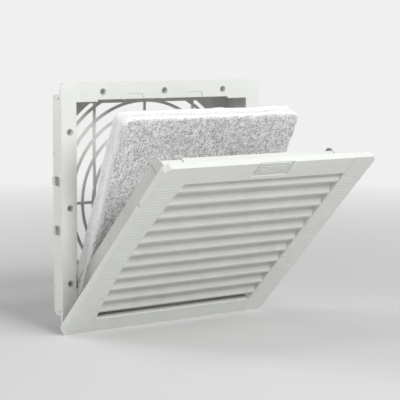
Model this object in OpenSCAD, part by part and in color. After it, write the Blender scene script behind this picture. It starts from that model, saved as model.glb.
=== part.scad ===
// Enclosure exhaust filter: a square snap-in base frame with a finger guard,
// a hinged louvred cover that drops open at its bottom edge, and a filter mat
// that leans out with it. The model is drawn with the cover open.
// Origin: centre of the panel face. X to the right, Y into the enclosure, Z up.

/* [Panel] */
// Side of the square cut-out in the enclosure wall
cutout = 223; // [200:1:320]
// Air gap between the collar and the edge of the cut-out
collar_gap = 1; // [0.5:0.25:2]

/* [Flange] */
// Thickness of the flange plate
flange_t = 3; // [2.6:0.2:4]
// How far the flange laps over the panel, measured from the collar
flange_lap = 12.6; // [11:0.2:16]
// How far the flange reaches inwards from the collar's outer face
flange_lip = 4.75; // [4:0.25:6]
// Radius of the two upper flange corners
flange_top_r = 4; // [2:1:7]
// Radius of the two lower flange corners
flange_low_r = 8; // [4:1:10]
// Distance of a side's outer screws from the screw line round the corner
screw_in = 38.6; // [30:0.2:50]
// Distance from the collar's outer face to the screw line
screw_out = 2.7; // [2.5:0.1:4]
// Diameter of a screw's pilot hole
pilot_d = 4.4; // [3:0.2:5]
// Diameter of a screw's countersink
sink_d = 7.5; // [5.6:0.1:8.5]
// Distance from the opening's side to the raised middle of its top edge
step_in = 24.75; // [20:0.25:40]
// Drop of the opening's top edge beyond the raised middle
step_drop = 1.85; // [1:0.05:2]

/* [Collar] */
// Depth of the collar behind the panel face
collar_depth = 33.4; // [30:0.2:45]
// Wall thickness of the collar
collar_wall = 2.2; // [1.6:0.1:3]
// Lead-in chamfer on the collar's lower rear edge
collar_chamfer = 4; // [2:0.5:6]

/* [Finger guard] */
// Thickness of the guard
guard_t = 1.6; // [1.2:0.1:2.4]
// Distance between neighbouring rings
ring_pitch = 12.85; // [11:0.05:16]
// Width of a ring
ring_w = 3; // [2:0.1:4]
// Width of the straight bars
bar_w = 2.9; // [2:0.1:4]
// Distance of the outer upright bars from the collar's inside
bar_in = 46.5; // [38:0.5:60]
// Distance of the solid corner webs from a circle that touches the collar's inside
web_out = 12.7; // [10.5:0.1:15.5]

/* [Gasket] */
// Width of the foam gasket
gasket_w = 5.2; // [4.4:0.2:5.6]
// Thickness of the foam gasket
gasket_t = 1; // [0.8:0.1:1.2]

/* [Clips] */
// Distance of a clip from the middle of its side
clip_z = 24.6; // [15:0.2:40]
// Height of a clip
clip_h = 8; // [5:0.5:12]
// Thickness of a clip's arm
clip_t = 2.2; // [1.6:0.1:2.4]
// How far a clip's thumb block stands out of the collar
clip_out = 2.6; // [1.5:0.1:3]

/* [Cover] */
// Thickness of the cover's face
face_t = 2; // [1.8:0.1:2.6]
// Depth of the rim that wraps round the flange
rim_depth = 7; // [6:0.1:7.2]
// Wall thickness of the rim
rim_wall = 1.8; // [1.4:0.1:2.2]
// Gap between the rim and the flange
rim_gap = 1.1; // [0.8:0.1:2]
// Distance from the panel to the cover's face when it is shut
cover_stand = 7.7; // [7.6:0.1:9]
// Height of the shut cover above the middle of the base
cover_lift = 1.5; // [1:0.1:2]
// Chamfer of the cover's four corners
cover_chamfer = 5.1; // [2:0.1:8]
// Angle at which the cover rests open
open_angle = 45.37; // [30:0.01:50]

/* [Hinge] */
// Distance of the hinge axis behind the cover's face
hinge_inset = 2.2; // [2.2:0.1:2.6]
// Height of the hinge axis above the cover's bottom edge
hinge_height = 4.9; // [4.6:0.1:5.6]
// Diameter of the hinge trunnions
trunnion_d = 2.2; // [1.8:0.1:2.2]
// Distance of the hinges from the cover's sides
hinge_in = 41; // [32:1:60]
// Length of a knuckle on the cover
knuckle_l = 10; // [6:1:16]
// Thickness of a web that holds a trunnion
trunnion_web = 2; // [1.5:0.5:4]

/* [Louvre] */
// Distance from the highest slat's lip to the top of the louvre window
slat_top = 13; // [10:0.5:16]
// Height of the lowest slat's lip above the cover's bottom edge
slat_low = 33.5; // [32:0.5:40]
// Depth of a slat behind the face
slat_depth = 7.4; // [6:0.1:7.6]
// Thickness of a slat
slat_t = 1.4; // [1:0.1:1.6]
// Height of the flat lip on a slat
slat_lip = 2.4; // [1.5:0.1:3]
// Width of the border right of the louvre window
border_right = 28.5; // [28:0.5:46]
// Lower edge of the louvre window, above the cover's bottom edge
window_low = 21.5; // [21:0.5:26]
// Width of the border above the louvre window
border_top = 23; // [18:0.5:23.5]
// Width of the border left of the louvre window, at its top and bottom
border_left = 31; // [30:0.5:41]
// How far the left edge bulges out at half height
window_bulge = 8; // [4:0.5:8]
// Thickness of the walls round the window
window_wall = 1.2; // [1:0.1:1.6]

/* [Ribbed strips] */
// Distance between neighbouring grooves
groove_pitch = 4.4; // [3:0.1:6]
// Width of a groove
groove_w = 2.2; // [1:0.1:2.6]
// Depth of a groove
groove_depth = 0.35; // [0.2:0.05:0.6]
// Thickness of the separate strip on the right
strip_t = 1; // [0.8:0.1:1.2]
// Width of the seam beside the strip
seam_w = 0.35; // [0.2:0.05:0.6]
// Distance from the louvre window to the seam
seam_out = 1.1; // [1:0.1:2]

/* [Skirt] */
// Wall thickness of the skirt
skirt_t = 1.3; // [1.1:0.1:1.6]
// Gap between the skirt and the opening's side
skirt_gap = 0.75; // [0.5:0.05:1.2]
// Distance from the skirt's rear edge to the guard when the cover is shut
skirt_rear_gap = 2.3; // [2.1:0.1:4]
// Height of the snap tab at the skirt's upper end
tab_h = 13.4; // [10:0.2:18]
// Length of the slit below the snap tab
tab_slit = 12.5; // [8:0.5:20]

/* [Filter mat] */
// Thickness of the filter mat
mat_t = 19; // [14:0.5:20]
// Gap above the filter mat when the cover is shut
mat_top_gap = 6.35; // [5.05:0.1:21]
// Angle at which the mat leans out when the cover is open
mat_lean = 24.7; // [15:0.1:26]
// Radius of the mat's edges
mat_edge_r = 4; // [3:0.5:5]
// Crown of the mat's two faces
mat_crown = 0.6; // [0.2:0.1:1]

/* [Hidden] */
$fn = 64;

// Overrun of every cut
over = 1;
// Clearance between pieces that move past each other
run_gap = 0.3;
// Clearance between fixed pieces that only look joined
fit_gap = 0.05;
// Radial clearance of a trunnion in its knuckle
pin_gap = 0.05;

// Base, measured from the middle of the panel face
collar_half = cutout / 2 - collar_gap;
collar_in = collar_half - collar_wall;
flange_half = collar_half + flange_lap;
opening_half = collar_half - flange_lip;
opening_top = opening_half + fit_gap;
step_x = opening_half - step_in;
screw_line = collar_half + screw_out;
screw_pitch = screw_line - screw_in;
pilot_neck = gasket_t + run_gap;
gasket_out = 1.7;
groove_in = collar_half + gasket_out;

// Cover, shut: x across, y behind its face, z above its bottom edge
cover_half = flange_half + rim_gap + rim_wall;
cover_h = 2 * cover_half;
cover_low = cover_lift - cover_half;
hinge_y = hinge_inset - cover_stand;
hinge_z = cover_low + hinge_height;
// The rim's lower edge is rounded round the hinge so that it clears the panel
sweep_r = -hinge_y - run_gap;
rim_drop = hinge_height - rim_wall;
rim_tail = sqrt(sweep_r * sweep_r - rim_drop * rim_drop);
flange_low = hinge_z + rim_tail * sin(open_angle) - rim_drop * cos(open_angle) + run_gap + 2 * fit_gap;

// Finger guard, just inside the collar's rear edge
guard_seat = 0.6;
guard_y = collar_depth - guard_seat;
guard_border = 7.8;
bar_x = collar_in - bar_in;
web_r = collar_in + web_out;
ring_first_share = 1.95;
ring_first = ring_first_share * ring_pitch;
ring_count = floor((web_r - ring_w / 2 - ring_first) / ring_pitch) + 1;

// Recesses for the latch pads in the flange's top bar
latch_x = 37.2;
recess_w = 22.5;
recess_top_w = 18.5;
recess_h = 5.6;
recess_depth = 0.5;
// Small marks on the opening's edge
nub_r = 0.8;
nub_places = [-1.5, -49];
notch_depth = 1.2;
notch_top = 41.25;
notch_h = 14.6;

// Collar details
lock_hole_d = 2.4;
lock_hole_in = 1.7;
lock_hole_z = collar_in - lock_hole_in;
lock_hole_y = 22.7;
lock_groove = 0.4;
ridge_h = 2;
ridge_out = 0.5;
ridge_places_share = [0.466, -0.741];

// Retaining clips
clip_root_y = 3;
clip_root_r = clip_t / 2;
clip_end_y = guard_y - run_gap - fit_gap;
clip_block_l = 6.6;
clip_block_chamfer = 1.6;
clip_tooth_l = 1.8;
clip_tooth_out = 0.8;
clip_tooth_count = 3;
clip_slot_gap = 0.3;

// Hinge
hinge_x = cover_half - hinge_in;
knuckle_r = 2.2;
trunnion_r = trunnion_d / 2;
bore_r = trunnion_r + pin_gap;
relief_r = trunnion_r + run_gap + fit_gap;
snap_slot = 1.7;
web_rise = 5;

// Louvre
window_right = cover_half - border_right;
window_left = cover_half - border_left;
window_high = cover_h - border_top;
slat_count = 11;
slat_high = window_high - slat_top;
slat_pitch = (slat_high - slat_low) / (slat_count - 1);
slat_bend_depth_share = 0.5;
slat_bend_height_share = 0.46;
slat_blend_share = 0.16;
slat_reach = 2.2;
first_slat_drop = 1.1;
first_slat_reach = slat_top - first_slat_drop;
window_mid = (window_low + window_high) / 2;
window_span = (window_high - window_low) / 2;
arc_r = (window_span * window_span + window_bulge * window_bulge) / (2 * window_bulge);
arc_x = arc_r - window_left - window_bulge;
arc_fn = 720;
louvre_back = slat_depth + slat_t + run_gap;
low_wall_depth = cover_stand - flange_t - run_gap;
centre_rib_t = 1.6;
centre_rib_in = 5.2;
seam_x = window_right + seam_out;

// Ribbed strips
groove_low = 20;
groove_count = floor((window_high - groove_low) / groove_pitch);
groove_stop = 0.8;

// Grip recess at the top of the face, and the blank plate in it
grip_w = 42;
grip_low = 18.5;
grip_depth = 1;
grip_plate_t = 0.5;
grip_plate_inset = 1.6;
pry_low = 57.5;
pry_h = 5.3;
pry_deep = 4.6;

// Skirt
skirt_out = opening_half - skirt_gap;
skirt_in = skirt_out - skirt_t;
skirt_depth = cover_stand + guard_y - skirt_rear_gap;
skirt_foot_gap = 0.85;
skirt_foot = cover_half - cover_lift - opening_half + skirt_foot_gap;
skirt_foot_cut = 7;
skirt_foot_rise = 15.6;
bump_out = 2;
bump_low = 25.9;
bump_high = 34.5;
bump_step = 0.8;
bump_step_drop = 1.9;
lug_out = 1;
lug_low = 16;
lug_h = 5.5;
lug_l = 3.5;
tab_gap = 1.6;
tab_top = cover_half - cover_lift + opening_half - step_drop - tab_gap;
tab_slit_w = 0.8;
tab_crop_y = 3.3;
tab_crop_z = 3.4;
tab_slope = 1.4;
tab_front = 13.2;
top_wall_depth = 31.5;
top_wall_gap = 1.25;

// Filter mat
mat_side_gap = 0.7;
mat_half_w = skirt_in - mat_side_gap;
mat_rear = guard_y - run_gap;
mat_front = mat_rear - mat_t;
mat_foot_gap = 0.45;
mat_foot = -opening_half + mat_foot_gap;
mat_h = 2 * opening_half - mat_foot_gap - mat_top_gap;
mat_mid_z = mat_foot + mat_h / 2;
mat_axis_y = -10.7;
mat_axis_drop = 31.45;
mat_axis_z = -opening_half - mat_axis_drop;
mat_power = 22;
mat_points = 48;
mat_draw_in = 0.7;
mat_ring_shares = [0.5, 0.86];
rest_x = 60;
rest_t = 2.4;
rest_front = -flange_t + fit_gap;
rest_short = 1.5;
rest_back = mat_front - rest_short;

plastic = [0.83, 0.83, 0.8];
plastic_shade = [0.74, 0.75, 0.72];
slat_colour = [0.78, 0.79, 0.76];
guard_colour = [0.62, 0.63, 0.6];
foam_colour = [0.2, 0.2, 0.2];
mat_colour = [0.88, 0.88, 0.88];

// Extrudes an outline in x and z from y0 to y1
module slab(y0, y1) {
    translate([0, y1, 0])
        rotate([90, 0, 0])
            linear_extrude(y1 - y0)
                children();
}

// Extrudes an outline in y and z from x0 to x1
module across(x0, x1) {
    translate([x0, 0, 0])
        rotate([90, 0, 90])
            linear_extrude(x1 - x0)
                children();
}

module box(low, high) {
    translate(low)
        cube(high - low);
}

module both_sides() {
    children();
    mirror([1, 0, 0])
        children();
}

// Puts what is drawn on the shut cover in its place on the open cover
module on_cover() {
    translate([0, hinge_y, hinge_z])
        rotate([open_angle, 0, 0])
            translate([0, -hinge_inset, -hinge_height])
                children();
}

// Puts what is drawn on the shut mat in its place when it leans out
module on_mat() {
    translate([0, mat_axis_y, mat_axis_z])
        rotate([mat_lean, 0, 0])
            translate([0, -mat_axis_y, -mat_axis_z])
                children();
}

// Square outline with its own radius on the upper and the lower corners
module plate_outline(half, low, top_r, low_r) {
    translate([-half + low_r, low])
        square([2 * (half - low_r), 2 * low_r]);
    translate([-half, low + low_r])
        square([2 * half, half - low - low_r - top_r]);
    translate([-half + top_r, half - 2 * top_r])
        square([2 * (half - top_r), 2 * top_r]);
    for (side = [-1, 1]) {
        translate([side * (half - low_r), low + low_r])
            circle(low_r);
        translate([side * (half - top_r), half - top_r])
            circle(top_r);
    }
}

module opening_outline() {
    translate([-opening_half, -opening_half])
        square([2 * opening_half, 2 * opening_half - step_drop]);
    translate([-step_x, 0])
        square([2 * step_x, opening_top]);
    for (side = [-1, 1])
        translate([side * opening_half - notch_depth, notch_top - opening_half - notch_h])
            square([2 * notch_depth, notch_h]);
}

module recess_outline(gap) {
    polygon([
        [-recess_w / 2 + gap, -over],
        [recess_w / 2 - gap, -over],
        [recess_top_w / 2 - gap, recess_h - gap],
        [-recess_top_w / 2 + gap, recess_h - gap]]);
}

module screw_holes() {
    for (turn = [0:90:270], place = [-screw_pitch, 0, screw_pitch])
        rotate([0, turn, 0])
            translate([place, 0, screw_line])
                rotate([90, 0, 0])
                    children();
}

module gasket_outline(gap) {
    inner = groove_in - gap;
    outer = groove_in + gasket_w + gap;
    difference() {
        intersection() {
            square(2 * outer, center = true);
            translate([-outer, flange_low + 2 * gasket_t - gap])
                square([2 * outer, 2 * outer]);
        }
        square(2 * inner, center = true);
    }
}

// Flat frame that lies on the enclosure wall, with its twelve screw holes
module base_flange() {
    color(plastic)
    difference() {
        slab(-flange_t, 0)
            plate_outline(flange_half, flange_low, flange_top_r, flange_low_r);
        slab(-flange_t - over, over)
            difference() {
                opening_outline();
                for (place = nub_places)
                    translate([place, opening_top])
                        circle(nub_r);
            }
        for (side = [-1, 1])
            translate([side * latch_x, 0, opening_top])
                slab(-flange_t - over, -flange_t + recess_depth)
                    recess_outline(0);
        slab(-gasket_t, over)
            gasket_outline(0);
        screw_holes()
            cylinder(h = 2 * flange_t + over, d = pilot_d, center = true);
        screw_holes()
            translate([0, 0, pilot_neck])
                cylinder(h = flange_t - pilot_neck, d1 = pilot_d, d2 = sink_d);
        screw_holes()
            translate([0, 0, flange_t])
                cylinder(h = over, d = sink_d);
    }
}

// Foam strip in the flange's rear groove, pierced where the screws pass
module panel_gasket() {
    color(foam_colour)
    difference() {
        slab(-gasket_t, 0)
            gasket_outline(0);
        screw_holes()
            cylinder(h = 2 * flange_t + over, d = pilot_d + 2 * run_gap, center = true);
    }
}

// Square sleeve that passes through the cut-out
module mounting_collar() {
    slot_h = clip_h + 2 * clip_slot_gap;
    slot_y = clip_root_y - clip_root_r - clip_slot_gap;
    color(plastic)
    difference() {
        union() {
            slab(0, collar_depth)
                difference() {
                    square(2 * collar_half, center = true);
                    square(2 * collar_in, center = true);
                }
            both_sides()
                for (share = ridge_places_share)
                    box([collar_in, collar_depth - ridge_h, share * collar_half - ridge_h / 2],
                        [collar_half + ridge_out, collar_depth, share * collar_half + ridge_h / 2]);
        }
        across(-collar_half - over, collar_half + over)
            polygon([
                [collar_depth - collar_chamfer - over, -collar_half - over],
                [collar_depth + over, -collar_half - over],
                [collar_depth + over, -collar_half + collar_chamfer + over]]);
        both_sides()
            for (level = [-clip_z, clip_z])
                box([collar_in - over, slot_y, level - slot_h / 2],
                    [collar_half + over, collar_depth + over, level + slot_h / 2]);
        for (level = [-lock_hole_z, lock_hole_z]) {
            translate([0, lock_hole_y, level])
                rotate([0, 90, 0])
                    cylinder(h = 2 * collar_half + over, d = lock_hole_d, center = true);
            both_sides()
                box([collar_half - lock_groove, lock_hole_y, level - lock_hole_d / 4],
                    [collar_half + over, collar_depth + over, level + lock_hole_d / 4]);
        }
    }
}

module guard_ring(radius) {
    difference() {
        circle(radius + ring_w / 2, $fn = 180);
        circle(radius - ring_w / 2, $fn = 180);
    }
}

// Rings, bars and solid corners that keep fingers out of the enclosure
module finger_guard() {
    color(guard_colour)
    slab(guard_y, guard_y + guard_t)
        intersection() {
            square(2 * collar_in, center = true);
            union() {
                difference() {
                    square(2 * collar_in, center = true);
                    square(2 * (collar_in - guard_border), center = true);
                }
                for (place = [-bar_x, 0, bar_x])
                    translate([place, 0])
                        square([bar_w, 2 * collar_in], center = true);
                square([2 * collar_in, bar_w], center = true);
                for (ring = [0:ring_count - 1])
                    guard_ring(ring_first + ring * ring_pitch);
                difference() {
                    square(2 * collar_in, center = true);
                    circle(web_r, $fn = 180);
                }
            }
        }
}

// Two webs on the flange's lower edge with a stub shaft between them
module hinge_trunnion(side) {
    inner = knuckle_l / 2 + run_gap;
    outer = inner + trunnion_web;
    color(plastic)
    translate([side * hinge_x, 0, 0]) {
        translate([0, hinge_y, hinge_z])
            rotate([0, 90, 0])
                cylinder(h = 2 * outer, r = trunnion_r, center = true);
        both_sides()
            across(inner, outer)
                difference() {
                    polygon([
                        [hinge_y, hinge_z - trunnion_r],
                        [-flange_t, flange_low],
                        [-flange_t, flange_low + web_rise],
                        [hinge_y, hinge_z + trunnion_r]]);
                    translate([hinge_y, hinge_z])
                        circle(trunnion_r);
                }
    }
}

module hinge_trunnion_left() hinge_trunnion(-1);

module hinge_trunnion_right() hinge_trunnion(1);

// Rib inside the base whose curved top carries the mat's lower edge as it swings
module mat_rest(side) {
    centre_y = mat_front + mat_edge_r - mat_axis_y;
    centre_z = mat_foot + mat_edge_r - mat_axis_z;
    reach = sqrt(centre_y * centre_y + centre_z * centre_z) - mat_edge_r - run_gap;
    color(plastic)
    across(side * rest_x - rest_t / 2, side * rest_x + rest_t / 2)
        intersection() {
            union() {
                translate([rest_front, -opening_half])
                    square([rest_back - rest_front, opening_half]);
                translate([0, -collar_in])
                    square([rest_back, collar_in]);
            }
            translate([mat_axis_y, mat_axis_z])
                circle(reach, $fn = 180);
        }
}

module mat_rest_left() mat_rest(-1);

module mat_rest_right() mat_rest(1);

// Sprung arm in a slot of the collar: teeth grip the panel, a thumb block frees it
module retaining_clip(side, level) {
    root_x = collar_half - clip_root_r;
    block_y = clip_end_y - clip_block_l;
    color(plastic_shade)
    translate([0, 0, level])
        mirror([side < 0 ? 1 : 0, 0, 0])
            translate([0, 0, -clip_h / 2])
                linear_extrude(clip_h) {
                    translate([root_x, clip_root_y])
                        circle(clip_root_r);
                    polygon([
                        [collar_half - clip_t, clip_root_y],
                        [collar_half, clip_root_y],
                        for (tooth = [0:clip_tooth_count - 1]) each [
                            [collar_half, clip_root_y + (tooth + 1) * clip_tooth_l],
                            [collar_half + clip_tooth_out, clip_root_y + (tooth + 1) * clip_tooth_l],
                            [collar_half, clip_root_y + (tooth + 2) * clip_tooth_l - fit_gap]],
                        [collar_half, block_y],
                        [collar_half + clip_out, block_y],
                        [collar_half + clip_out, clip_end_y - clip_block_chamfer],
                        [collar_half + clip_out - clip_block_chamfer, clip_end_y],
                        [collar_half - clip_t, clip_end_y]]);
                }
}

module retaining_clip_upper_left() retaining_clip(-1, clip_z);

module retaining_clip_lower_left() retaining_clip(-1, -clip_z);

module retaining_clip_upper_right() retaining_clip(1, clip_z);

module retaining_clip_lower_right() retaining_clip(1, -clip_z);

// Outline of the cover's face, moved inwards by a gap
module cover_outline(gap) {
    half = cover_half - gap;
    cut = cover_chamfer - gap * (2 - sqrt(2));
    translate([0, cover_half])
        polygon([
            [-half + cut, -half],
            [half - cut, -half],
            [half, -half + cut],
            [half, half - cut],
            [half - cut, half],
            [-half + cut, half],
            [-half, half - cut],
            [-half, -half + cut]]);
}

// Disc whose left side is the bowed edge of the louvre window
module window_disc(gap) {
    translate([arc_x, window_mid])
        circle(arc_r + gap, $fn = arc_fn);
}

module window_outline() {
    intersection() {
        window_disc(0);
        translate([-cover_half, window_low])
            square([cover_half + window_right, window_high - window_low]);
    }
}

module groove_row(x0, x1) {
    across(x0, x1)
        for (row = [0:groove_count - 1])
            translate([0, groove_low + (row + 1 / 2) * groove_pitch])
                polygon([[-over, -groove_w], [groove_depth, 0], [-over, groove_w]]);
}

module window_walls() {
    slab(face_t, louvre_back)
        intersection() {
            difference() {
                window_disc(window_wall);
                window_disc(fit_gap);
            }
            translate([-skirt_in, window_low - window_wall])
                square([skirt_in, first_slat_reach + slat_high - window_low + window_wall]);
        }
    box([window_right, face_t, window_low],
        [window_right + window_wall, louvre_back, slat_high + first_slat_reach]);
    box([-window_left - window_wall / 2, face_t, window_low - window_wall],
        [window_right + window_wall, low_wall_depth, window_low]);
}

module hinge_relief(side) {
    reach = knuckle_l / 2 + 2 * run_gap + trunnion_web;
    translate([side * hinge_x, hinge_inset, hinge_height])
        rotate([0, 90, 0]) {
            cylinder(h = knuckle_l + over, r = bore_r, center = true);
            translate([0, 0, knuckle_l / 2])
                cylinder(h = reach - knuckle_l / 2, r = relief_r);
            translate([0, 0, -reach])
                cylinder(h = reach - knuckle_l / 2, r = relief_r);
        }
}

// Square face with its rim, window walls, ribbed left border and hinge knuckles
module cover_frame() {
    color(plastic)
    on_cover()
        difference() {
            union() {
                difference() {
                    union() {
                        slab(0, face_t)
                            difference() {
                                cover_outline(0);
                                window_outline();
                            }
                        slab(face_t, rim_depth)
                            difference() {
                                cover_outline(0);
                                cover_outline(rim_wall);
                            }
                        window_walls();
                    }
                    across(-cover_half - over, cover_half + over)
                        difference() {
                            translate([hinge_inset, -over])
                                square([rim_depth, hinge_height + over]);
                            translate([hinge_inset, hinge_height])
                                circle(sweep_r);
                        }
                }
                for (side = [-1, 1])
                    translate([side * hinge_x - knuckle_l / 2, hinge_inset, hinge_height])
                        rotate([0, 90, 0])
                            cylinder(h = knuckle_l, r = knuckle_r);
            }
            for (side = [-1, 1]) {
                hinge_relief(side);
                translate([side * hinge_x, hinge_inset, hinge_height])
                    box([-knuckle_l, 0, -snap_slot / 2], [knuckle_l, 2 * knuckle_r, snap_slot / 2]);
            }
            intersection() {
                groove_row(-cover_half - over, -window_left + window_bulge);
                slab(-over, face_t)
                    difference() {
                        translate([-cover_half - over, 0])
                            square([cover_half, cover_h]);
                        window_disc(groove_stop);
                    }
            }
            box([seam_x, -over, -over], [cover_half + over, strip_t, cover_h + over]);
            box([-grip_w / 2, -over, cover_h - grip_low], [grip_w / 2, grip_depth, cover_h + over]);
            both_sides()
                across(cover_half - rim_wall - over, cover_half + over)
                    polygon([
                        [rim_depth + over, cover_h - pry_low],
                        [rim_depth - pry_deep, cover_h - pry_low + pry_h / 4],
                        [rim_depth + over, cover_h - pry_low + pry_h]]);
        }
}

// Separate strip that covers the right border, with a fine seam beside it
module side_strip() {
    color(plastic)
    on_cover()
        difference() {
            slab(0, strip_t)
                intersection() {
                    cover_outline(0);
                    translate([seam_x + seam_w, 0])
                        square([cover_half, cover_h]);
                }
            groove_row(seam_x + seam_w + groove_stop, cover_half + over);
        }
}

// Plain plate in the finger recess at the top of the face
module grip_plate() {
    half = grip_w / 2 - grip_plate_inset;
    color(plastic_shade)
    on_cover()
        box([-half, grip_depth - grip_plate_t, cover_h - grip_low + grip_plate_inset],
            [half, grip_depth, cover_h - grip_plate_inset]);
}

// Pad behind the face that seats in a recess of the flange
module latch_pad(side) {
    color(plastic_shade)
    on_cover()
        translate([side * latch_x, 0, opening_top - cover_low])
            slab(face_t, cover_stand - flange_t + recess_depth - run_gap - fit_gap)
                intersection() {
                    recess_outline(run_gap);
                    translate([-recess_w, run_gap])
                        square([2 * recess_w, recess_h]);
                }
}

module latch_pad_left() latch_pad(-1);

module latch_pad_right() latch_pad(1);

// Side wall behind the face: its lug holds the open cover in the flange's notch
module skirt_side(side) {
    slit_z = tab_top - tab_h - tab_slit_w;
    lug_y = skirt_depth - lug_l;
    wall = [
        [face_t, skirt_foot],
        [skirt_depth - skirt_foot_cut, skirt_foot],
        [skirt_depth, skirt_foot + skirt_foot_rise],
        [skirt_depth + bump_step, skirt_foot + bump_low - bump_step_drop],
        [skirt_depth + bump_out, skirt_foot + bump_low],
        [skirt_depth, skirt_foot + bump_high],
        [skirt_depth, slit_z],
        [skirt_depth - tab_slit, slit_z],
        [skirt_depth - tab_slit, slit_z + tab_slit_w],
        [face_t, slit_z + tab_slit_w]];
    color(plastic_shade)
    on_cover()
        mirror([side < 0 ? 1 : 0, 0, 0]) {
            across(skirt_in, skirt_out)
                polygon(wall);
            box([skirt_out, lug_y, skirt_foot + lug_low],
                [skirt_out + lug_out, skirt_depth, skirt_foot + lug_low + lug_h]);
        }
}

module skirt_left() skirt_side(-1);

module skirt_right() skirt_side(1);

// Springy tab at the upper end of a side wall, freed by the slit below it
module snap_tab(side) {
    low = tab_top - tab_h;
    color(plastic_shade)
    on_cover()
        mirror([side < 0 ? 1 : 0, 0, 0])
            across(skirt_in, skirt_out)
                polygon([
                    [face_t, low],
                    [skirt_depth, low],
                    [skirt_depth, tab_top - tab_slope - tab_crop_z],
                    [skirt_depth - tab_crop_y, tab_top - tab_slope],
                    [skirt_depth - tab_front, tab_top],
                    [face_t, tab_top]]);
}

module snap_tab_left() snap_tab(-1);

module snap_tab_right() snap_tab(1);

// Upper wall behind the face, stepped like the opening's top edge
module skirt_top() {
    low = tab_top - top_wall_gap;
    high = low + step_drop;
    step = step_x - skirt_gap + run_gap;
    color(plastic_shade)
    on_cover()
        slab(louvre_back, top_wall_depth)
            polygon([
                [-skirt_in, low - skirt_t],
                [-step + skirt_t, low - skirt_t],
                [-step + skirt_t, high - skirt_t],
                [step - skirt_t, high - skirt_t],
                [step - skirt_t, low - skirt_t],
                [skirt_in, low - skirt_t],
                [skirt_in, low],
                [step, low],
                [step, high],
                [-step, high],
                [-step, low],
                [-skirt_in, low]]);
}

// Front line of a slat from its lip up: flat lip, steep ramp, blend, shallow ramp
function slat_front() = let (
    bend = [slat_bend_depth_share * slat_depth, slat_bend_height_share * slat_pitch],
    lip = [0, slat_lip],
    top = [slat_depth, slat_pitch + slat_reach],
    before = bend + (lip - bend) * slat_blend_share,
    after = bend + (top - bend) * slat_blend_share)
    [[0, 0], lip, before, (before + after + 2 * bend) / 4, after, top];

// The highest slat is cut off below the window's upper edge
module slat_outline(row) {
    reach = row == slat_count - 1 ? first_slat_reach : slat_pitch + slat_reach;
    front = slat_front();
    turned = [for (k = [len(front) - 1:-1:0]) front[k] + [slat_t, 0]];
    translate([0, slat_low + row * slat_pitch])
        intersection() {
            polygon(concat(front, turned));
            translate([-over, -over])
                square([louvre_back + over, reach + over]);
        }
}

// One slat between the bowed left wall and the straight right wall
module louvre_slat(number) {
    color(slat_colour)
    on_cover()
        intersection() {
            across(-window_left - window_bulge - over, window_right - fit_gap)
                slat_outline(slat_count - number);
            slab(-over, louvre_back + over)
                window_disc(-fit_gap);
        }
}

module louvre_slat_01() louvre_slat(1);

module louvre_slat_02() louvre_slat(2);

module louvre_slat_03() louvre_slat(3);

module louvre_slat_04() louvre_slat(4);

module louvre_slat_05() louvre_slat(5);

module louvre_slat_06() louvre_slat(6);

module louvre_slat_07() louvre_slat(7);

module louvre_slat_08() louvre_slat(8);

module louvre_slat_09() louvre_slat(9);

module louvre_slat_10() louvre_slat(10);

module louvre_slat_11() louvre_slat(11);

// Upright ribs that tie each slat to the next one in the middle
module louvre_rib() {
    color(slat_colour)
    on_cover()
        across(-centre_rib_t / 2, centre_rib_t / 2)
            difference() {
                translate([centre_rib_in, slat_low + slat_lip])
                    square([louvre_back - centre_rib_in - run_gap, slat_high - slat_low]);
                for (row = [0:slat_count - 1])
                    slat_outline(row);
            }
}

// Points of the mat's outline, scaled by a share and drawn in by a length
function mat_ring(share, inset, y) = [for (k = [0:mat_points - 1]) let (
    turn = 360 * (k + 1 / 2) / mat_points,
    cx = cos(turn),
    cz = sin(turn),
    px = sign(cx) * pow(abs(cx), 2 / mat_power),
    pz = sign(cz) * pow(abs(cz), 2 / mat_power))
    [share * px * (mat_half_w - inset), y, mat_mid_z + share * pz * (mat_h / 2 - inset)]];

// Fleece block with crowned faces and slightly drawn-in sides
module filter_mat() {
    inner = mat_ring_shares[0];
    outer = mat_ring_shares[1];
    round_in = mat_edge_r * (1 - sqrt(1 / 2));
    rings = [
        mat_ring(inner, 0, mat_rear - mat_crown / 4),
        mat_ring(outer, 0, mat_rear - 2 * mat_crown / 3),
        mat_ring(1, mat_edge_r, mat_rear - mat_crown),
        mat_ring(1, round_in, mat_rear - mat_crown - round_in),
        mat_ring(1, 0, mat_rear - mat_crown - mat_edge_r),
        mat_ring(1, mat_draw_in, (mat_rear + mat_front) / 2),
        mat_ring(1, 0, mat_front + mat_crown + mat_edge_r),
        mat_ring(1, round_in, mat_front + mat_crown + round_in),
        mat_ring(1, mat_edge_r, mat_front + mat_crown),
        mat_ring(outer, 0, mat_front + 2 * mat_crown / 3),
        mat_ring(inner, 0, mat_front + mat_crown / 4)];
    ring_points = [for (ring = rings) each ring];
    last = len(rings) - 1;
    rear_centre = len(ring_points);
    front_centre = rear_centre + 1;
    points = concat(ring_points, [[0, mat_rear, mat_mid_z], [0, mat_front, mat_mid_z]]);
    sides = [for (r = [0:last - 1], k = [0:mat_points - 1]) let (
        a = r * mat_points + k,
        b = r * mat_points + (k + 1) % mat_points)
        each [[a, b, b + mat_points], [a, b + mat_points, a + mat_points]]];
    caps = [for (k = [0:mat_points - 1]) let (n = (k + 1) % mat_points)
        each [[rear_centre, n, k], [front_centre, last * mat_points + k, last * mat_points + n]]];
    color(mat_colour)
    on_mat()
        polyhedron(points, concat(sides, caps), convexity = 4);
}

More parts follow.
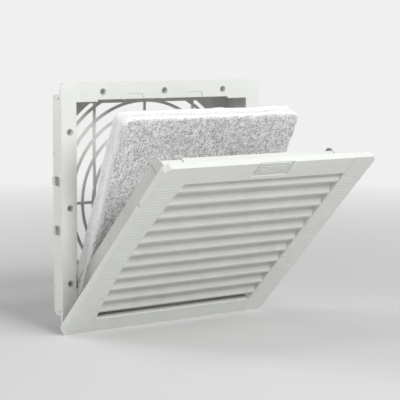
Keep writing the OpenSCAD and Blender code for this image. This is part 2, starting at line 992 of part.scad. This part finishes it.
base_flange();
mounting_collar();
finger_guard();
panel_gasket();
hinge_trunnion_left();
hinge_trunnion_right();
mat_rest_left();
mat_rest_right();
retaining_clip_upper_left();
retaining_clip_lower_left();
retaining_clip_upper_right();
retaining_clip_lower_right();
cover_frame();
side_strip();
grip_plate();
latch_pad_left();
latch_pad_right();
skirt_left();
skirt_right();
skirt_top();
snap_tab_left();
snap_tab_right();
louvre_rib();
louvre_slat_01();
louvre_slat_02();
louvre_slat_03();
louvre_slat_04();
louvre_slat_05();
louvre_slat_06();
louvre_slat_07();
louvre_slat_08();
louvre_slat_09();
louvre_slat_10();
louvre_slat_11();
filter_mat();
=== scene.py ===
"""Enclosure exhaust filter: looks of the moulded base, the open louvred cover and the fleece mat."""
import math

import bmesh
import bpy
from mathutils import Matrix, Quaternion, Vector, noise


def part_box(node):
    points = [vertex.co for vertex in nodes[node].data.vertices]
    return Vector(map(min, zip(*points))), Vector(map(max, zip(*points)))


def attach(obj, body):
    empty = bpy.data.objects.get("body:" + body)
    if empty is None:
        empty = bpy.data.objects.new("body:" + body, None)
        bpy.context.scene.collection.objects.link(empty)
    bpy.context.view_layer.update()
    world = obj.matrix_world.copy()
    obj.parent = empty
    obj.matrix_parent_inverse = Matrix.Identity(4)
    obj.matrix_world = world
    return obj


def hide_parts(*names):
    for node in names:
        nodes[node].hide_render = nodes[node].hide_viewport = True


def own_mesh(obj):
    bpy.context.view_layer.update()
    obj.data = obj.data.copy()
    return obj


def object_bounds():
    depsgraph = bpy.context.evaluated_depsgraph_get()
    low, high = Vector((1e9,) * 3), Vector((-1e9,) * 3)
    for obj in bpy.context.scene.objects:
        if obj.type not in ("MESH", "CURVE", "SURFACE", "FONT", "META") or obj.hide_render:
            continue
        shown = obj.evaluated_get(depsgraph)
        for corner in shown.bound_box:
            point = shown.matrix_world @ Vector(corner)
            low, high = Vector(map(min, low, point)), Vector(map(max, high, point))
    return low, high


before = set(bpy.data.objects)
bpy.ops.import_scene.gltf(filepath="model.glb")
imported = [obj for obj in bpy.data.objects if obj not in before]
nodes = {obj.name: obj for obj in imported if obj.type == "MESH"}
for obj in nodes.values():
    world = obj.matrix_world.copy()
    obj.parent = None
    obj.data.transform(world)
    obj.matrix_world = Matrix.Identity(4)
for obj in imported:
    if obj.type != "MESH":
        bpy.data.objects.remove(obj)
cad_low, cad_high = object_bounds()
MM = 0.001


# Base: one injection moulding in light grey ABS that snaps into the wall's cut-out. The
# flange lies on the wall, the sleeve goes through it, and two trunnions and two curved
# ribs are moulded on for the cover and the mat. The mould surface is finely textured.
class Wire:
    """A shader socket that Python expressions can work on."""

    def __init__(self, graph, socket):
        self.graph = graph
        self.socket = socket

    def maths(self, operation, first, second):
        return self.graph.node("ShaderNodeMath", {"operation": operation}, {0: first, 1: second})

    def __add__(self, other):
        return self.maths("ADD", self, other)

    def __radd__(self, other):
        return self.maths("ADD", other, self)

    def __mul__(self, other):
        return self.maths("MULTIPLY", self, other)

    def __rmul__(self, other):
        return self.maths("MULTIPLY", other, self)


class Graph:
    """A node tree and the one way in which nodes are added to it."""

    def __init__(self, tree):
        self.tree = tree
        self.tree.nodes.clear()

    def node(self, kind, settings=None, sockets=None, output=0):
        made = self.tree.nodes.new(kind)
        for name, value in (settings or {}).items():
            setattr(made, name, value)
        for name, value in (sockets or {}).items():
            self.feed(made.inputs[name], value)
        return Wire(self, made.outputs[output]) if made.outputs else None

    def feed(self, socket, value):
        if isinstance(value, Wire):
            self.tree.links.new(value.socket, socket)
        else:
            socket.default_value = value


class Finish(Graph):
    """The node tree of one material, built round a Principled shader."""

    def __init__(self, name, **constants):
        self.material = bpy.data.materials.new(name)
        self.material.use_nodes = True
        super().__init__(self.material.node_tree)
        self.shader = self.node("ShaderNodeBsdfPrincipled")
        self.set_shader(constants)

    def set_shader(self, values):
        for name, value in values.items():
            self.feed(self.shader.socket.node.inputs[name.replace("_", " ")], value)

    def shown(self, wire):
        self.node("ShaderNodeOutputMaterial", None, {"Surface": wire})
        return self.material

    def surface(self, **links):
        self.set_shader(links)
        return self.shown(self.shader)

    def place(self):
        return self.node("ShaderNodeTexCoord", output="Object")

    def cloud(self, size, detail=2.0, rough=0.5, at=None, bend=0.0):
        """Noise from 0 to 1 whose blobs are about so many metres wide."""
        sockets = {"Vector": at or self.place(), "Scale": 1 / size, "Detail": detail,
                   "Roughness": rough, "Distortion": bend}
        return self.node("ShaderNodeTexNoise", None, sockets)

    def blend(self, share, low, high):
        """A colour between two others."""
        sockets = {"Factor": share, 6: low, 7: high}
        return self.node("ShaderNodeMix", {"data_type": "RGBA"}, sockets, 2)

    def spread(self, value, low, high, to_low=0.0, to_high=1.0):
        """A number's range stretched to another range, and kept inside it."""
        sockets = {"Value": value, "From Min": low, "From Max": high,
                   "To Min": to_low, "To Max": to_high}
        return self.node("ShaderNodeMapRange", None, sockets)

    def bump(self, height, depth, strength=1.0, normal=None):
        sockets = {"Height": height, "Distance": depth, "Strength": strength}
        if normal:
            sockets["Normal"] = normal
        return self.node("ShaderNodeBump", None, sockets)


def colour(red, green, blue):
    """A linear colour from the 0 to 255 numbers of a colour chart."""
    shares = [value / 255 for value in (red, green, blue)]
    return (*[share / 12.92 if share <= 0.04045 else ((share + 0.055) / 1.055) ** 2.4
              for share in shares], 1)


FLOW_MARKS = 26 * MM
HANDLING_MARKS = 9 * MM
GRAIN_DEPTH = 0.012 * MM
GLOSS_SPREAD = 0.05


def moulded_plastic(name, light, dark, roughness, grain, edge, painted_shade=None):
    """Textured moulding: faint clouding, a fine spark-eroded grain and softly rounded edges."""
    finish = Finish(name, IOR=1.52, Specular_IOR_Level=0.4)
    flow = finish.cloud(FLOW_MARKS, detail=3, rough=0.6, bend=0.8)
    grains = finish.cloud(grain, detail=3, rough=0.6)
    pits = finish.cloud(4 * grain, detail=2, rough=0.5)
    base = finish.blend(finish.spread(flow + 0.25 * pits, 0.42, 0.82), dark, light)
    # Optional painted shade: a darker colour laid on parts of the surface that fall into shade.
    if painted_shade:
        base = painted_shade(finish, base)
    marks = finish.cloud(HANDLING_MARKS, detail=4, rough=0.65)
    gloss = finish.spread(marks, 0.3, 0.7, roughness - GLOSS_SPREAD, roughness + GLOSS_SPREAD)
    rounded = finish.node("ShaderNodeBevel", {"samples": 6}, {"Radius": edge})
    relief = finish.bump(grains * 0.6 + pits * 0.4, GRAIN_DEPTH, 0.8, rounded)
    return finish.surface(Base_Color=base, Roughness=gloss, Normal=relief)


SCREW_LINE = 113.2 * MM
SCREW_STEP = 74.6 * MM
SCREW_PLACES = [place for along in (-SCREW_STEP, 0, SCREW_STEP) for side in (-SCREW_LINE, SCREW_LINE)
                for place in ((along, side), (side, along))]
SINK_EDGE = 3.75 * MM
SINK_CORE = 3.3 * MM
# Painted shade: the grey laid inside the countersinks.
SINK_SHADE_GREY = colour(190, 192, 188)


def painted_countersink_shade(finish, base):
    """The base colour, with painted shade making it darker inside the twelve countersinks."""
    folded = finish.node("ShaderNodeVectorMath", {"operation": "ABSOLUTE"}, {0: finish.place()})
    flat = finish.node("ShaderNodeVectorMath", {"operation": "MULTIPLY"}, {0: folded, 1: (1, 0, 1)})
    nearest = 1.0
    for x, z in SCREW_PLACES:
        if min(x, z) >= 0:
            away = finish.node("ShaderNodeVectorMath", {"operation": "DISTANCE"},
                               {0: flat, 1: (x, 0, z)}, "Value")
            nearest = finish.node("ShaderNodeMath", {"operation": "MINIMUM"}, {0: nearest, 1: away})
    return finish.blend(finish.spread(nearest, SINK_EDGE, SINK_CORE), base, SINK_SHADE_GREY)


def dress(finish, *names):
    """Gives CAD pieces their finish."""
    for name in names:
        for place in nodes[name].material_slots:
            place.material = finish


GREY_LIGHT = colour(226, 228, 223)
GREY_DARK = colour(221, 223, 218)
HOUSING_ROUGHNESS = 0.42
HOUSING_GRAIN = 0.3 * MM
HOUSING_EDGE = 0.35 * MM
flange_plastic = moulded_plastic("flange_plastic", GREY_LIGHT, GREY_DARK, HOUSING_ROUGHNESS,
                                 HOUSING_GRAIN, HOUSING_EDGE, painted_countersink_shade)
housing_plastic = moulded_plastic("housing_plastic", GREY_LIGHT, GREY_DARK, HOUSING_ROUGHNESS,
                                  HOUSING_GRAIN, HOUSING_EDGE)
dress(flange_plastic, "base_flange")
dress(housing_plastic, "mounting_collar", "hinge_trunnion_left", "hinge_trunnion_right",
      "mat_rest_left", "mat_rest_right")


# Screw hole skins: the holes are moulded blind, closed by a thin dished skin that the screw
# breaks through, so nothing shows behind an unused hole. It is the flange's own plastic,
# but its colour is painted much darker as shade, since it lies deep in the hole.
SKIN_RADIUS = 2.3 * MM
SKIN_REAR = -0.45 * MM
SKIN_FRONT = -0.8 * MM
DISH_RADIUS = 1.5 * MM
DISH_FACE = -0.7 * MM
MARK_RADIUS = 0.7 * MM
MARK_FOOT = -0.65 * MM
MARK_TIP_RADIUS = 0.35 * MM
MARK_TIP = -0.9 * MM
SKIN_PROFILE = [(SKIN_RADIUS, SKIN_REAR), (SKIN_RADIUS, SKIN_FRONT), (DISH_RADIUS, DISH_FACE),
                (MARK_RADIUS, MARK_FOOT), (MARK_TIP_RADIUS, MARK_TIP)]
SKIN_SIDES = 24


def loft(shape, rings):
    """Quads from each closed ring of points to the next one."""
    for ring, following in zip(rings, rings[1:]):
        for k in range(len(ring)):
            n = (k + 1) % len(ring)
            shape.faces.new((ring[n], ring[k], following[k], following[n]))


def new_piece(name, shape, material):
    """An object in the scene from a closed shape, with one material."""
    bmesh.ops.recalc_face_normals(shape, faces=shape.faces)
    mesh = bpy.data.meshes.new(name)
    shape.to_mesh(mesh)
    shape.free()
    mesh.materials.append(material)
    piece = bpy.data.objects.new(name, mesh)
    bpy.context.scene.collection.objects.link(piece)
    return piece


def hole_skins():
    """Twelve thin dished discs with a centre mark, one in each screw hole."""
    shape = bmesh.new()
    turns = [2 * math.pi * k / SKIN_SIDES for k in range(SKIN_SIDES)]
    for x, z in SCREW_PLACES:
        rings = [[shape.verts.new((x + radius * math.cos(turn), y, z + radius * math.sin(turn)))
                  for turn in turns] for radius, y in SKIN_PROFILE]
        loft(shape, rings)
        shape.faces.new(rings[0])
        shape.faces.new(rings[-1])
    return shape


# Painted shade: the skin's grey is far darker than the flange's plastic.
skin_shaded_plastic = moulded_plastic("skin_shaded_plastic", colour(128, 130, 126), colour(112, 114, 110),
                               roughness=0.5, grain=0.2 * MM, edge=0.1 * MM)
skins = new_piece("screw_hole_skins", hole_skins(), skin_shaded_plastic)
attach(skins, "base")


# Finger guard: rings and bars moulded across the sleeve's rear. They come from the same
# mould as the base but are polished less, and their grey is painted darker as shade.
# Painted shade: a darker copy of the base's grey for the guard deep in the sleeve.
guard_plastic = moulded_plastic("guard_plastic", colour(206, 208, 203), colour(194, 196, 191),
                                roughness=0.5, grain=0.35 * MM, edge=0.3 * MM)
dress(guard_plastic, "finger_guard")


# Retaining clips: four sprung arms of a tougher, slightly glossier plastic, moulded apart
# and snapped into the sleeve's slots, where they grip the wall from behind.
clip_plastic = moulded_plastic("clip_plastic", colour(214, 215, 209), colour(203, 204, 198),
                               roughness=0.36, grain=0.25 * MM, edge=0.25 * MM)
dress(clip_plastic, "retaining_clip_upper_left", "retaining_clip_lower_left",
      "retaining_clip_upper_right", "retaining_clip_lower_right")


# Panel gasket: a strip of dark foam glued into the groove on the flange's rear, punched
# where the screws pass. It is cut from a sheet, so open cells show on every face.
FOAM_INSIDE = 112.2 * MM
FOAM_OUTSIDE = 117.4 * MM
FOAM_FRONT = -1 * MM
FOAM_REAR = -0.12 * MM
FOAM_LUMP_RISE = 0.08 * MM
FOAM_LUMPS = 1.6 * MM
FOAM_PORES = 0.7 * MM
FOAM_CELL = 0.55 * MM
FOAM_DUST = 6 * MM
FOAM_CELL_DEPTH = 0.2 * MM
NOTCH_RADIUS = 2.5 * MM
NOTCH_PULL_IN = 0.6 * MM
NOTCH_PULL_OUT = 0.5 * MM
STRIP_STEPS = 5
FOOT_STEPS = 4
LENGTH_STEPS = 216


def foam_finish():
    """Dark cells with lighter, dusty walls between them."""
    finish = Finish("gasket_foam", IOR=1.45, Specular_IOR_Level=0.25)
    cells = finish.node("ShaderNodeTexVoronoi", None,
                        {"Vector": finish.place(), "Scale": 1 / FOAM_CELL})
    depth = finish.spread(cells, 0.1, 0.55)
    dust = finish.spread(finish.cloud(FOAM_DUST, detail=3), 0.35, 0.75)
    skin = finish.blend(dust, colour(38, 39, 40), colour(58, 59, 60))
    tone = finish.blend(depth, colour(18, 18, 19), skin)
    return finish.surface(Base_Color=tone, Roughness=finish.spread(dust, 0, 1, 0.8, 0.95),
                          Normal=finish.bump(depth, FOAM_CELL_DEPTH, 0.9))


def even_steps(start, end, count):
    """The start and each of the steps on the way to the end, without the end."""
    return [start + (end - start) * k / count for k in range(count)]


def foam_strip():
    """Square frame of foam, notched round each screw, with uneven cells on its faces."""
    columns = even_steps(-FOAM_OUTSIDE, -FOAM_INSIDE, STRIP_STEPS)
    columns += even_steps(-FOAM_INSIDE, FOAM_INSIDE, LENGTH_STEPS)
    columns += even_steps(FOAM_INSIDE, FOAM_OUTSIDE, STRIP_STEPS) + [FOAM_OUTSIDE]
    rows = even_steps(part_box("panel_gasket")[0].z, -FOAM_INSIDE, FOOT_STEPS) + columns[STRIP_STEPS:]
    notches = [Vector(place) for place in SCREW_PLACES]
    shape = bmesh.new()
    points = {}

    def corner(i, k):
        if (i, k) not in points:
            spot = Vector((columns[i], rows[k]))
            for centre in notches:
                out = spot - centre
                if NOTCH_RADIUS - NOTCH_PULL_IN < out.length < NOTCH_RADIUS + NOTCH_PULL_OUT:
                    spot = centre + out.normalized() * NOTCH_RADIUS
            points[i, k] = shape.verts.new((spot.x, FOAM_FRONT, spot.y))
        return points[i, k]

    for i in range(len(columns) - 1):
        for k in range(len(rows) - 1):
            middle = Vector((columns[i] + columns[i + 1], rows[k] + rows[k + 1])) / 2
            if max(abs(middle.x), abs(middle.y)) < FOAM_INSIDE:
                continue
            if min((middle - centre).length for centre in notches) < NOTCH_RADIUS:
                continue
            shape.faces.new([corner(i, k), corner(i + 1, k), corner(i + 1, k + 1), corner(i, k + 1)])
    grown = bmesh.ops.extrude_face_region(shape, geom=shape.faces[:])
    for point in (item for item in grown["geom"] if isinstance(item, bmesh.types.BMVert)):
        lump = noise.noise(point.co / FOAM_LUMPS) + 0.5 * noise.noise(point.co / FOAM_PORES)
        point.co.y = FOAM_REAR + FOAM_LUMP_RISE * lump
    return shape


foam_gasket = new_piece("foam_gasket", foam_strip(), foam_finish())
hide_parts("panel_gasket")
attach(foam_gasket, "base")


# Filter mat: a lofty square of white polyester fleece, needled from crimped fibres and cut
# by hand, so its edges wander. It stands on the base's ribs and leans on the open cover.
MAT_HALF_W = 104.8 * MM
MAT_FOOT = -105.3 * MM
MAT_TOP = 102.7 * MM
MAT_MIDDLE = (MAT_TOP + MAT_FOOT) / 2
MAT_HALF_H = (MAT_TOP - MAT_FOOT) / 2
MAT_FRONT = 13.6 * MM
MAT_REAR = 31.9 * MM
MAT_PRESSED = 32.7 * MM
MAT_CORNER = 9.5 * MM
MAT_EDGE = 3.2 * MM
MAT_WAIST = 0.8 * MM
MAT_AXIS = Vector((0, -10.7 * MM, -137.2 * MM))
MAT_LEAN = math.radians(24.7)
MAT_CELLS = 66
MAT_WALL_ROWS = 12
MAT_EDGE_ROWS = 4
TINY = 1e-9


def rounded_outline(point, half_w, half_h, radius):
    """Moves a point of a square's edge onto a rounded rectangle, and gives it with its normal."""
    x = point[0] * half_w
    z = point[1] * half_h
    core = Vector((max(-half_w + radius, min(half_w - radius, x)),
                   max(-half_h + radius, min(half_h - radius, z))))
    out = Vector((x, z)) - core
    if out.length < TINY:
        out = Vector((point[0] if abs(point[0]) > abs(point[1]) else 0,
                      point[1] if abs(point[1]) >= abs(point[0]) else 0))
    out.normalize()
    return core + out * radius, out


def fleece_profile():
    """Insets and depths from the front face's edge round to the rear face's edge."""
    turn = [math.pi / 2 * k / MAT_EDGE_ROWS for k in range(MAT_EDGE_ROWS + 1)]
    front = [(MAT_EDGE * (1 - math.sin(a)), MAT_FRONT + MAT_EDGE * (1 - math.cos(a))) for a in turn]
    rear = [(inset, MAT_REAR + MAT_FRONT - y) for inset, y in reversed(front)]
    first = front[-1][1]
    span = rear[0][1] - first
    wall = [(MAT_WAIST * math.sin(math.pi * k / MAT_WALL_ROWS), first + span * k / MAT_WALL_ROWS)
            for k in range(1, MAT_WALL_ROWS)]
    return front + wall + rear


def fleece_block():
    """Closed block of even quads: a front sheet, the walls round it and a rear sheet."""
    count = 2 * MAT_CELLS
    shape = bmesh.new()
    sheet_points = {}
    for face, y in enumerate((MAT_FRONT, MAT_REAR)):
        for i in range(count + 1):
            for k in range(count + 1):
                s = i / MAT_CELLS - 1
                t = k / MAT_CELLS - 1
                reach = max(abs(s), abs(t), TINY)
                edge, out = rounded_outline((s / reach, t / reach), MAT_HALF_W, MAT_HALF_H, MAT_CORNER)
                spot = (edge - out * MAT_EDGE) * reach
                sheet_points[face, i, k] = shape.verts.new((spot.x, y, MAT_MIDDLE + spot.y))
    border = [(i, 0) for i in range(count)] + [(count, k) for k in range(count)]
    border += [(count - i, count) for i in range(count)] + [(0, count - k) for k in range(count)]
    outline = [rounded_outline((i / MAT_CELLS - 1, k / MAT_CELLS - 1),
                               MAT_HALF_W, MAT_HALF_H, MAT_CORNER) for i, k in border]
    rings = [[sheet_points[0, i, k] for i, k in border]]
    for inset, y in fleece_profile()[1:-1]:
        spots = [edge - out * inset for edge, out in outline]
        rings.append([shape.verts.new((spot.x, y, MAT_MIDDLE + spot.y)) for spot in spots])
    rings.append([sheet_points[1, i, k] for i, k in border])
    for i in range(count):
        for k in range(count):
            corners = [(i, k), (i + 1, k), (i + 1, k + 1), (i, k + 1)]
            shape.faces.new([sheet_points[0, a, b] for a, b in corners])
            shape.faces.new([sheet_points[1, a, b] for a, b in reversed(corners)])
    loft(shape, rings)
    return shape


MAT_SWELL = 0.6 * MM
MAT_FLARE = 2.8 * MM
MAT_FLARE_SPAN = 100 * MM
CUT_ZONE = 0.1
CUT_WAVES = 24 * MM
CUT_WAVE_RISE = 0.9 * MM
CUT_RIPPLES = 9 * MM
CUT_RIPPLE_RISE = 0.5 * MM
HOLLOWS = 45 * MM
HOLLOW_DEPTH = 0.8 * MM
TUFTS = 3.4 * MM
TUFT_RISE = 0.34 * MM
TUFT_NOISE = {"H": 0.6, "lacunarity": 2.1, "octaves": 4}
STRANDS = 5.5 * MM
STRAND_RISE = 0.16 * MM
STRAND_NOISE = {"H": 0.9, "lacunarity": 2.2, "octaves": 3, "offset": 1.0, "gain": 2.0}
STRAND_MEAN = 1.2


def kept_in(value):
    """The value, kept between 0 and 1."""
    return max(0.0, min(1.0, value))


def tease(mesh):
    """Hand-cut edges, soft hollows and tufts of fibre, all from the same fixed noise."""
    moves = []
    for point in mesh.vertices:
        spot = point.co
        side = max(abs(spot.x) / MAT_HALF_W, abs(spot.z - MAT_MIDDLE) / (MAT_TOP - MAT_MIDDLE))
        near_edge = kept_in((side - (1 - CUT_ZONE)) / CUT_ZONE)
        cut = CUT_WAVE_RISE * noise.noise(spot / CUT_WAVES)
        cut += CUT_RIPPLE_RISE * noise.noise(spot / CUT_RIPPLES)
        hollow = HOLLOW_DEPTH * noise.noise(spot / HOLLOWS)
        tuft = TUFT_RISE * noise.fractal(spot / TUFTS, *TUFT_NOISE.values())
        strand = noise.ridged_multi_fractal(spot / STRANDS, *STRAND_NOISE.values()) - STRAND_MEAN
        lift = MAT_SWELL + hollow + near_edge * cut + tuft + STRAND_RISE * strand
        flare = MAT_FLARE * kept_in(spot.z / MAT_FLARE_SPAN) * spot.x / MAT_HALF_W
        moves.append(point.normal * lift + Vector((flare, 0, 0)))
    for point, move in zip(mesh.vertices, moves):
        point.co = point.co + move
        point.co.y = min(point.co.y, MAT_PRESSED)
    mesh.shade_smooth()


FIBRES = 1.5 * MM
CROSSED_FIBRES = 1.6 * MM
FIBRE_LUMPS = 2.2 * MM
FIBRE_STRETCH = 0.22
PILE_DEPTH = 1.1 * MM
PILE_GAP = 0.43
PILE_TOP = 0.555
SHEET_FACING = 0.86
EDGE_FACING = 0.5
EDGE_PAINTED_LIGHT = 0.085
SHADE_PATCHES = 30 * MM


def fleece_finish():
    """Crossed and matted fibres with grey gaps between them; faces not turned front or rear, such as
    the top, get painted light.
    """
    finish = Finish("filter_fleece", IOR=1.4, Specular_IOR_Level=0.1)
    at = finish.place()
    along = finish.node("ShaderNodeMapping", None, {"Vector": at, "Rotation": (0.2, 0.9, 0.4),
                                                    "Scale": (1, 1, FIBRE_STRETCH)})
    across = finish.node("ShaderNodeMapping", None, {"Vector": at, "Rotation": (-0.3, -0.7, 1.2),
                                                     "Scale": (FIBRE_STRETCH, 1, 1)})
    strands = finish.cloud(FIBRES, 3, 0.7, along, 1.5)
    crossing = finish.cloud(CROSSED_FIBRES, 3, 0.7, across, 1.5)
    lumps = finish.cloud(FIBRE_LUMPS, 4, 0.7, at, 0.6)
    pile = strands * 0.4 + crossing * 0.35 + lumps * 0.25
    facing = finish.node("ShaderNodeTexCoord", output="Normal")
    depth = finish.node("ShaderNodeSeparateXYZ", None, {0: facing}, "Y")
    flat = finish.node("ShaderNodeMath", {"operation": "ABSOLUTE"}, {0: depth})
    # Painted light: faces that don't face front or rear, such as the top edge, are whitened.
    edge_light_share = finish.spread(flat, SHEET_FACING, EDGE_FACING)
    tone = finish.spread(pile + EDGE_PAINTED_LIGHT * edge_light_share, PILE_GAP, PILE_TOP)
    patches = finish.spread(finish.cloud(SHADE_PATCHES, 3, 0.6, at), 0.3, 0.7)
    deep = finish.blend(patches, colour(156, 156, 158), colour(172, 172, 174))
    return finish.surface(Base_Color=finish.blend(tone, deep, colour(252, 252, 252)),
                          Roughness=finish.spread(pile, 0.3, 0.7, 0.85, 0.97),
                          Normal=finish.bump(pile, PILE_DEPTH, 0.9))


def turned_about(axis, angle):
    """Where a piece lies once it has turned about a cross axis through a point."""
    return Matrix.Translation(axis) @ Matrix.Rotation(angle, 4, "X") @ Matrix.Translation(-axis)


fleece = new_piece("fleece_mat", fleece_block(), fleece_finish())
tease(fleece.data)
fleece.matrix_world = turned_about(MAT_AXIS, MAT_LEAN)
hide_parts("filter_mat")
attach(fleece, "mat")
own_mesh(fleece)


# Cover: one moulding in the same grey as the base: a square face with a rim, a ribbed left
# border and two hinge knuckles. The ribbed strip on the right is a separate piece in its
# seat, and the side walls, snap tabs and latch pads stand behind the face.
# Painted shade: the side walls and snap tabs behind the face get a darker copy of the grey.
tray_shaded_plastic = moulded_plastic("tray_shaded_plastic", colour(203, 205, 200), colour(194, 196, 191),
                               roughness=0.46, grain=0.3 * MM, edge=0.3 * MM)
dress(housing_plastic, "cover_frame", "side_strip", "latch_pad_left", "latch_pad_right", "skirt_top")
dress(tray_shaded_plastic, "skirt_left", "skirt_right", "snap_tab_left", "snap_tab_right")


# Grip plate: a thin insert of the same plastic pressed into the recess above the louvre,
# with fine raised ridges for the finger that pulls the cover open.
HINGE = Vector((0, -5.5 * MM, -119.6 * MM))
COVER_OPEN = math.radians(45.37)
PLATE_FACE = -7.2 * MM
RIDGE_COUNT = 5
RIDGE_LOWEST = 113.9 * MM
RIDGE_PITCH = 1.95 * MM
RIDGE_REACH = 12.5 * MM
MIDDLE_RIDGE_REACH = 14 * MM
RIDGE_HALF = 0.45 * MM
RIDGE_ROOT = -0.1 * MM
RIDGE_FOOT = 0.08 * MM
RIDGE_RISE = 0.32 * MM
RIDGE_PROFILE = [(1, RIDGE_ROOT), (1, RIDGE_FOOT), (0.75, 0.8 * RIDGE_RISE), (0.35, RIDGE_RISE)]
RIDGE_END_STEPS = 6


def grip_ridges():
    """Low ridges with sloping flanks and rounded ends, sunk a little into the plate."""
    shape = bmesh.new()
    for row in range(RIDGE_COUNT):
        line = RIDGE_LOWEST + RIDGE_PITCH * row
        reach = MIDDLE_RIDGE_REACH if row == RIDGE_COUNT // 2 else RIDGE_REACH
        rings = []
        for share, height in RIDGE_PROFILE:
            ring = []
            for centre, first in ((reach, -math.pi / 2), (-reach, math.pi / 2)):
                for step in range(RIDGE_END_STEPS + 1):
                    turn = first + math.pi * step / RIDGE_END_STEPS
                    ring.append(shape.verts.new((centre + share * RIDGE_HALF * math.cos(turn),
                                                 PLATE_FACE - height,
                                                 line + share * RIDGE_HALF * math.sin(turn))))
            rings.append(ring)
        loft(shape, rings)
        shape.faces.new(rings[0])
        shape.faces.new(rings[-1])
    return shape


grip_plastic = moulded_plastic("grip_plastic", colour(214, 216, 211), colour(206, 208, 203),
                               roughness=0.46, grain=0.25 * MM, edge=0.2 * MM)
dress(grip_plastic, "grip_plate")
ridges = new_piece("grip_ridges", grip_ridges(), grip_plastic)
ridges.matrix_world = turned_about(HINGE, COVER_OPEN)
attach(ridges, "cover")


# Louvre: eleven slats moulded with the cover, each with a flat lip at its lower edge, and
# a row of short ribs in the middle that keeps them apart.
SLAT_COUNT = 11
# Painted shade: the slats get a slightly darker copy of the cover's grey, as they lie back in the face.
louvre_plastic = moulded_plastic("louvre_plastic", colour(210, 212, 206), colour(202, 204, 198),
                                 HOUSING_ROUGHNESS, grain=0.3 * MM, edge=0.3 * MM)
dress(louvre_plastic, "louvre_rib",
      *[f"louvre_slat_{number:02d}" for number in range(1, SLAT_COUNT + 1)])


# Setting: a plain pale floor under soft studio light. The camera stands where the
# photograph was taken from, 37 degrees to the left and a little above the object.
BACKDROP = colour(240, 240, 240)
FLOOR_RADIUS = 9
FLOOR_GREY = (0.7, 0.7, 0.7, 1)
FADE_START = 0.35
FADE_END = 1.5
ROOM_GREY = (0.9, 0.9, 0.9, 1)
ROOM_LIGHT = 0.27
LAMP_AIM = Vector((0, -0.05, 0))


def seen_rays(graph):
    """Share of a ray that shows the backdrop: camera, mirror and see-through rays."""
    total = graph.node("ShaderNodeLightPath", output="Is Camera Ray")
    for kind in ("Is Glossy Ray", "Is Transmission Ray"):
        rays = graph.node("ShaderNodeLightPath", output=kind)
        total = graph.node("ShaderNodeMath", {"operation": "MAXIMUM"}, {0: total, 1: rays})
    return total


def floor_finish():
    """Pale paper; away from the object it turns into the backdrop, so that no edge shows."""
    finish = Finish("studio_floor", Base_Color=FLOOR_GREY, Roughness=0.9, Specular_IOR_Level=0.1)
    away = finish.node("ShaderNodeVectorMath", {"operation": "LENGTH"}, {0: finish.place()}, "Value")
    share = finish.spread(away, FADE_START, FADE_END) * seen_rays(finish)
    glow = finish.node("ShaderNodeEmission", None, {"Color": BACKDROP})
    return finish.shown(finish.node("ShaderNodeMixShader", None, {0: share, 1: finish.shader, 2: glow}))


disc = bmesh.new()
bmesh.ops.create_circle(disc, cap_ends=True, radius=FLOOR_RADIUS, segments=64)
floor = new_piece("studio_floor", disc, floor_finish())
floor.location.z = cad_low.z

world = bpy.data.worlds.new("studio")
world.use_nodes = True
bpy.context.scene.world = world
sky = Graph(world.node_tree)
room = sky.node("ShaderNodeBackground", None, {"Color": ROOM_GREY, "Strength": ROOM_LIGHT})
wall = sky.node("ShaderNodeBackground", None, {"Color": BACKDROP})
either = sky.node("ShaderNodeMixShader", None, {0: seen_rays(sky), 1: room, 2: wall})
sky.node("ShaderNodeOutputWorld", None, {"Surface": either})


def softbox(name, place, width, height, power):
    """A soft rectangular lamp that faces the object."""
    light = bpy.data.lights.new(name, "AREA")
    light.shape = "RECTANGLE"
    light.size = width
    light.size_y = height
    light.energy = power
    lamp = bpy.data.objects.new(name, light)
    lamp.location = place
    lamp.rotation_mode = "QUATERNION"
    lamp.rotation_quaternion = (LAMP_AIM - Vector(place)).to_track_quat("-Z", "Y")
    bpy.context.scene.collection.objects.link(lamp)


softbox("key_softbox", place=(0.1, -2.0, 1.3), width=1.2, height=1.0, power=48)
softbox("top_softbox", place=(-0.3, 0.1, 2.2), width=0.9, height=0.9, power=5)
softbox("fill_softbox", place=(-1.3, 1.8, 0.5), width=0.9, height=0.7, power=27)

VIEW_AZIMUTH = math.radians(-36.902)
VIEW_ELEVATION = math.radians(6.33)
VIEW_ROLL = math.radians(0.178)
VIEW_DISTANCE = 1532.0 * MM
VIEW_TARGET = Vector((46.17, -1.65, -1.68)) * MM
VIEW_LENS = 132.05

back = Vector((math.sin(VIEW_AZIMUTH) * math.cos(VIEW_ELEVATION),
               -math.cos(VIEW_AZIMUTH) * math.cos(VIEW_ELEVATION), math.sin(VIEW_ELEVATION)))
camera = bpy.data.objects.new("camera", bpy.data.cameras.new("camera"))
camera.data.lens = VIEW_LENS
camera.data.sensor_fit = "HORIZONTAL"
camera.data.clip_start = 0.05
camera.data.clip_end = 40
camera.rotation_mode = "QUATERNION"
camera.location = VIEW_TARGET + back * VIEW_DISTANCE
camera.rotation_quaternion = (-back).to_track_quat("-Z", "Y") @ Quaternion((0, 0, 1), VIEW_ROLL)
bpy.context.scene.collection.objects.link(camera)
bpy.context.scene.camera = camera
bpy.context.scene.view_settings.view_transform = "Standard"
